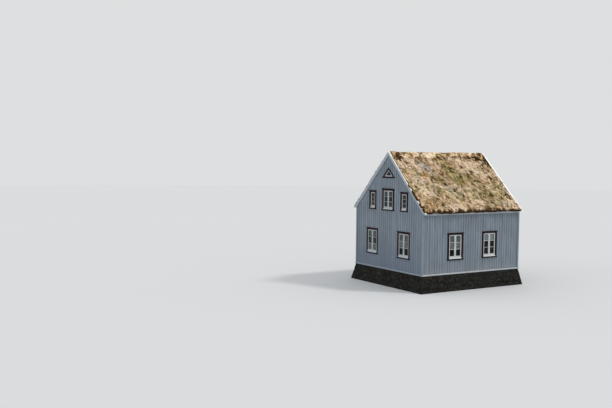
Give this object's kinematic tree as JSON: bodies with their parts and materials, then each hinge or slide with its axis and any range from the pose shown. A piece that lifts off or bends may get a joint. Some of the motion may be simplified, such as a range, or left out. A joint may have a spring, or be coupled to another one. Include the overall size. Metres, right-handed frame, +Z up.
{
  "type": "turf-roofed timber house",
  "caption": "Timber house with boarded walls on a battered stone plinth, a steep turf roof between bargeboards, casement windows, and a triangular gable light.",
  "frame": {"origin": "centre of the footprint's bounding box, at the foot of the stone plinth", "axes": "+Z up, +Y along the ridge from the front gable to the back gable with the door and steps, +X from the left side wall to the right side wall"},
  "size_m": [6.0696, 7.4238, 6.9106],
  "materials": {
    "plinth_stone": "rough dark field stone",
    "step_stone": "rough grey stone",
    "wall_paint": "weathered blue-grey paint on boards",
    "trim_paint": "pale blue-grey paint",
    "barge_paint": "pale blue-grey paint",
    "cap_paint": "worn white paint",
    "casing_paint": "dark red-brown paint",
    "sash_paint": "white paint",
    "window_glass": "old window glass",
    "door_paint": "dark red-brown paint",
    "bare_timber": "bare aged timber",
    "roof_timber": "bare aged boards",
    "turf": "dry grass and moss on soil"
  },
  "bodies": {
    "root": {"plinth_front": "plinth_stone", "plinth_back": "plinth_stone", "plinth_left": "plinth_stone", "plinth_right": "plinth_stone", "door_steps": "step_stone", "front_wall": "wall_paint", "front_gable": "wall_paint", "back_wall": "wall_paint", "back_gable": "wall_paint", "left_wall": "wall_paint", "right_wall": "wall_paint", "corner_boards": "trim_paint", "gable_drip_boards": "trim_paint", "side_drip_boards": "trim_paint", "eaves_boards": "trim_paint", "left_bargeboards": "barge_paint", "right_bargeboards": "barge_paint", "left_barge_caps": "cap_paint", "right_barge_caps": "cap_paint", "front_casings": "casing_paint", "back_casings": "casing_paint", "side_casings": "casing_paint", "door_frame": "casing_paint", "front_sashes": "sash_paint", "back_sashes": "sash_paint", "side_sashes": "sash_paint", "front_glass": "window_glass", "back_glass": "window_glass", "side_glass": "window_glass", "door_leaf": "door_paint", "ground_joists": "bare_timber", "ground_floor": "bare_timber", "attic_beams": "bare_timber", "attic_floor": "bare_timber", "wall_plates": "bare_timber", "left_rafters": "bare_timber", "right_rafters": "bare_timber", "collar_beams": "bare_timber", "left_roof_boards": "roof_timber", "right_roof_boards": "roof_timber", "left_turf": "turf", "right_turf": "turf", "ridge_turf": "turf"}
  },
  "joints": []
}
